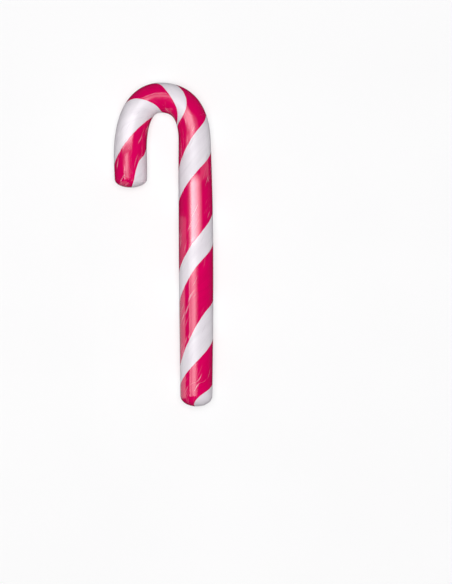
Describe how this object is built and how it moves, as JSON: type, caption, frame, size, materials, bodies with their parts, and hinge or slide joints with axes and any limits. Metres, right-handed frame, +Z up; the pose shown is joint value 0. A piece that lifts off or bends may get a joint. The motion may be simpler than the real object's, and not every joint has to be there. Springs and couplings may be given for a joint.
{
  "type": "candy cane",
  "caption": "Round stick of glossy hard candy bent into a hook at one end, with red and white stripes winding round it, lying flat.",
  "frame": {"origin": "on the surface the cane lies on, under the middle of its box", "axes": "+Y runs along the stick towards the hook, +X points away from the hook's tip, +Z points up from the surface, on the side that shows"},
  "size_m": [0.0379, 0.1231, 0.0129],
  "materials": {
    "striped_sugar": "glossy boiled sugar, crimson with a winding white stripe"
  },
  "bodies": {
    "root": {"candy_cane": "striped_sugar"}
  },
  "joints": []
}
